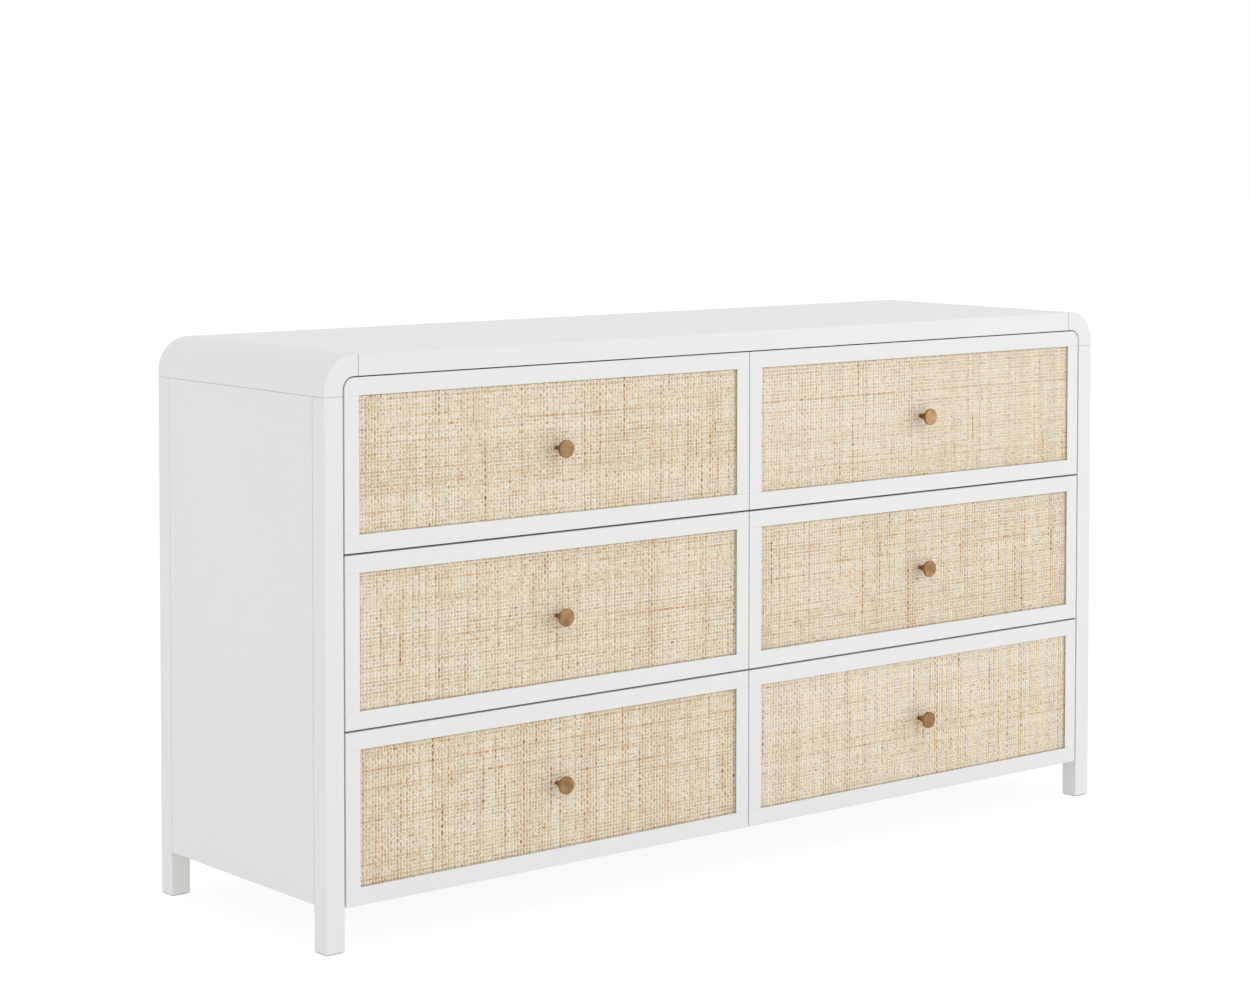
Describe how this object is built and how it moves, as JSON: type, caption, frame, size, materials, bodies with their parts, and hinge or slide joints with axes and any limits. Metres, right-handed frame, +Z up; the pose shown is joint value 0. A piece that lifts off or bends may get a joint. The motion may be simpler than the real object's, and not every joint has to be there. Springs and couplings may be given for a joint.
{
  "type": "dresser with drawers",
  "caption": "Low white dresser on short legs, with rounded upper corners, drawers faced in framed woven cane that slide on telescopic runners, and brass disc knobs",
  "frame": {"origin": "on the floor, midway along the width and midway between the knobs' faces and the back", "axes": "+X to the right along the width, +Y to the back, +Z up; the drawers open towards -Y"},
  "size_m": [1.524, 0.4634, 0.82],
  "materials": {
    "lacquer": "white satin lacquer sprayed on wood",
    "lacquer_top": "white satin lacquer on the flat top",
    "back_board": "white painted thin board, matt",
    "carcass_wood": "white sealed carcass board",
    "drawer_wood": "pale birch, clear lacquer",
    "cane": "natural woven cane, straw coloured with darker strands",
    "cane_backing": "white painted board behind the cane",
    "brass": "brushed brass, lightly aged",
    "runner_steel": "zinc plated steel",
    "screw_steel": "zinc plated steel",
    "glide": "dark grey nylon"
  },
  "bodies": {
    "root": {"top_panel": "lacquer_top", "corner_block_left": "lacquer", "corner_block_right": "lacquer", "side_panel_left": "lacquer", "side_panel_right": "lacquer", "leg_front_left": "lacquer", "leg_front_right": "lacquer", "leg_back_left": "lacquer", "leg_back_right": "lacquer", "back_panel": "back_board", "back_rails": "carcass_wood", "back_screws": "screw_steel", "front_rails": "carcass_wood", "bottom_panel": "carcass_wood", "centre_divider": "carcass_wood", "runner_battens": "carcass_wood", "cabinet_runners": "runner_steel", "foot_glides": "glide"},
    "drawer_bottom_left": {"drawer_bottom_left_frame": "lacquer", "drawer_bottom_left_cane_panel": "cane", "drawer_bottom_left_backing_panel": "cane_backing", "drawer_bottom_left_knob": "brass", "drawer_bottom_left_box": "drawer_wood", "drawer_bottom_left_runners": "runner_steel"},
    "mid_bottom_left": {"mid_bottom_left_runners": "runner_steel"},
    "drawer_bottom_right": {"drawer_bottom_right_frame": "lacquer", "drawer_bottom_right_cane_panel": "cane", "drawer_bottom_right_backing_panel": "cane_backing", "drawer_bottom_right_knob": "brass", "drawer_bottom_right_box": "drawer_wood", "drawer_bottom_right_runners": "runner_steel"},
    "mid_bottom_right": {"mid_bottom_right_runners": "runner_steel"},
    "drawer_middle_left": {"drawer_middle_left_frame": "lacquer", "drawer_middle_left_cane_panel": "cane", "drawer_middle_left_backing_panel": "cane_backing", "drawer_middle_left_knob": "brass", "drawer_middle_left_box": "drawer_wood", "drawer_middle_left_runners": "runner_steel"},
    "mid_middle_left": {"mid_middle_left_runners": "runner_steel"},
    "drawer_middle_right": {"drawer_middle_right_frame": "lacquer", "drawer_middle_right_cane_panel": "cane", "drawer_middle_right_backing_panel": "cane_backing", "drawer_middle_right_knob": "brass", "drawer_middle_right_box": "drawer_wood", "drawer_middle_right_runners": "runner_steel"},
    "mid_middle_right": {"mid_middle_right_runners": "runner_steel"},
    "drawer_top_left": {"drawer_top_left_frame": "lacquer", "drawer_top_left_cane_panel": "cane", "drawer_top_left_backing_panel": "cane_backing", "drawer_top_left_knob": "brass", "drawer_top_left_box": "drawer_wood", "drawer_top_left_runners": "runner_steel"},
    "mid_top_left": {"mid_top_left_runners": "runner_steel"},
    "drawer_top_right": {"drawer_top_right_frame": "lacquer", "drawer_top_right_cane_panel": "cane", "drawer_top_right_backing_panel": "cane_backing", "drawer_top_right_knob": "brass", "drawer_top_right_box": "drawer_wood", "drawer_top_right_runners": "runner_steel"},
    "mid_top_right": {"mid_top_right_runners": "runner_steel"}
  },
  "joints": [
    {"name": "slide_bottom_left", "type": "slide", "parent": "root", "child": "drawer_bottom_left", "axis": [0, -1, 0], "range_m": [0, 0.35]},
    {"name": "mid_slide_bottom_left", "type": "slide", "parent": "root", "child": "mid_bottom_left", "axis": [0, -1, 0], "range_m": [0, 0.175]},
    {"name": "slide_bottom_right", "type": "slide", "parent": "root", "child": "drawer_bottom_right", "axis": [0, -1, 0], "range_m": [0, 0.35]},
    {"name": "mid_slide_bottom_right", "type": "slide", "parent": "root", "child": "mid_bottom_right", "axis": [0, -1, 0], "range_m": [0, 0.175]},
    {"name": "slide_middle_left", "type": "slide", "parent": "root", "child": "drawer_middle_left", "axis": [0, -1, 0], "range_m": [0, 0.35]},
    {"name": "mid_slide_middle_left", "type": "slide", "parent": "root", "child": "mid_middle_left", "axis": [0, -1, 0], "range_m": [0, 0.175]},
    {"name": "slide_middle_right", "type": "slide", "parent": "root", "child": "drawer_middle_right", "axis": [0, -1, 0], "range_m": [0, 0.35]},
    {"name": "mid_slide_middle_right", "type": "slide", "parent": "root", "child": "mid_middle_right", "axis": [0, -1, 0], "range_m": [0, 0.175]},
    {"name": "slide_top_left", "type": "slide", "parent": "root", "child": "drawer_top_left", "axis": [0, -1, 0], "range_m": [0, 0.35]},
    {"name": "mid_slide_top_left", "type": "slide", "parent": "root", "child": "mid_top_left", "axis": [0, -1, 0], "range_m": [0, 0.175]},
    {"name": "slide_top_right", "type": "slide", "parent": "root", "child": "drawer_top_right", "axis": [0, -1, 0], "range_m": [0, 0.35]},
    {"name": "mid_slide_top_right", "type": "slide", "parent": "root", "child": "mid_top_right", "axis": [0, -1, 0], "range_m": [0, 0.175]}
  ],
  "couplings": [
    {"joint": "mid_slide_bottom_left", "follows": "slide_bottom_left", "ratio": 0.5},
    {"joint": "mid_slide_bottom_right", "follows": "slide_bottom_right", "ratio": 0.5},
    {"joint": "mid_slide_middle_left", "follows": "slide_middle_left", "ratio": 0.5},
    {"joint": "mid_slide_middle_right", "follows": "slide_middle_right", "ratio": 0.5},
    {"joint": "mid_slide_top_left", "follows": "slide_top_left", "ratio": 0.5},
    {"joint": "mid_slide_top_right", "follows": "slide_top_right", "ratio": 0.5}
  ]
}
